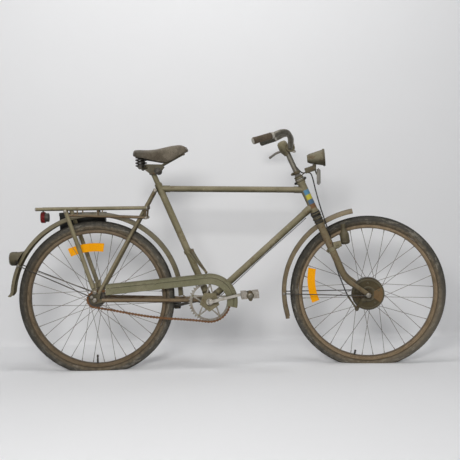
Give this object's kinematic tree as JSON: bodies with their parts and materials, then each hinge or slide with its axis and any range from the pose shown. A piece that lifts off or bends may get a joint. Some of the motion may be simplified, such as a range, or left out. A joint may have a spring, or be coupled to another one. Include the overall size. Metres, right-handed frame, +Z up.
{
  "type": "army roadster bicycle",
  "caption": "Olive army roadster bicycle with carrier, mudguards, chain guard, drum front brake and bottle dynamo; the wheels, steering, cranks and pedals turn.",
  "frame": {"origin": "on the saddle top at the middle plane, where the rider sits", "axes": "X forward along the bicycle, Y to the rider's left, Z up; the floor is 0.924 m below the origin"},
  "size_m": [1.8236, 0.565, 1.002],
  "materials": {
    "olive_paint": "worn matt olive paint with rust at the edges",
    "bare_steel": "dull grey steel with brown spots",
    "dull_chrome": "dulled plating",
    "tyre": "dusty grey rubber",
    "rusty_rim": "brown paint with rust",
    "leather": "dry brown leather",
    "brown_rubber": "worn brown rubber",
    "black_rubber": "worn black rubber",
    "black_box": "matt black paint",
    "rusty_chain": "rusty steel",
    "red_reflector": "dull red plastic",
    "orange_reflector": "ribbed orange plastic",
    "pale_reflector": "pale grey plastic",
    "lamp_glass": "ribbed clear glass"
  },
  "bodies": {
    "frame": {"head_tube": "olive_paint", "top_tube": "olive_paint", "down_tube": "olive_paint", "seat_tube": "olive_paint", "bottom_bracket": "olive_paint", "chain_stays": "olive_paint", "seat_stays": "olive_paint", "rear_dropouts": "olive_paint", "rear_axle": "bare_steel", "seat_pin": "dull_chrome", "saddle_frame": "olive_paint", "saddle_springs": "bare_steel", "saddle_cover": "leather", "rear_rack": "olive_paint", "rack_stays": "olive_paint", "rack_struts": "olive_paint", "tool_box": "black_box", "rear_reflector": "red_reflector", "rear_mudguard": "olive_paint", "rear_mudguard_stays": "bare_steel", "tail_lamp": "olive_paint", "chain_guard": "olive_paint", "chain_guard_bracket": "olive_paint", "chain": "rusty_chain"},
    "steering": {"fork_crown": "olive_paint", "fork_blades": "olive_paint", "stem": "dull_chrome", "handlebar": "dull_chrome", "grips": "brown_rubber", "brake_lever": "dull_chrome", "brake_cable": "black_rubber", "headlamp": "olive_paint", "headlamp_lens": "lamp_glass", "lamp_bracket": "bare_steel", "front_disc": "pale_reflector", "dynamo": "olive_paint", "front_brake_plate": "olive_paint", "front_axle": "bare_steel", "front_mudguard": "olive_paint", "front_mudguard_stays": "bare_steel"},
    "front_wheel": {"front_tyre": "tyre", "front_rim": "rusty_rim", "front_spokes": "bare_steel", "front_hub": "olive_paint", "front_wheel_reflector": "orange_reflector"},
    "rear_wheel": {"rear_tyre": "tyre", "rear_rim": "rusty_rim", "rear_spokes": "bare_steel", "rear_hub": "bare_steel", "rear_wheel_reflector": "orange_reflector"},
    "cranks": {"chainwheel": "dull_chrome", "right_crank": "dull_chrome", "left_crank": "dull_chrome"},
    "right_pedal_body": {"right_pedal": "black_rubber"},
    "left_pedal_body": {"left_pedal": "black_rubber"}
  },
  "joints": [
    {"name": "steering", "type": "hinge", "parent": "frame", "child": "steering", "pos_m": [0.67093, 0, -0.21013], "axis": [-0.4067, 0, 0.9135], "range_deg": [-52, 68]},
    {"name": "front_wheel_spin", "type": "hinge", "parent": "steering", "child": "front_wheel", "pos_m": [0.91548, -0.00821, -0.61573], "axis": [0.1271, 0.9903, 0.0566], "continuous": true},
    {"name": "rear_wheel_spin", "type": "hinge", "parent": "frame", "child": "rear_wheel", "pos_m": [-0.225, 0, -0.6155], "axis": [0, 1, 0], "continuous": true},
    {"name": "crank_spin", "type": "hinge", "parent": "frame", "child": "cranks", "pos_m": [0.247, 0, -0.6335], "axis": [0, 1, 0], "continuous": true},
    {"name": "right_pedal_spin", "type": "hinge", "parent": "cranks", "child": "right_pedal_body", "pos_m": [0.40998, -0.135, -0.59707], "axis": [0, 1, 0], "continuous": true},
    {"name": "left_pedal_spin", "type": "hinge", "parent": "cranks", "child": "left_pedal_body", "pos_m": [0.08402, 0.135, -0.66993], "axis": [0, 1, 0], "continuous": true}
  ]
}
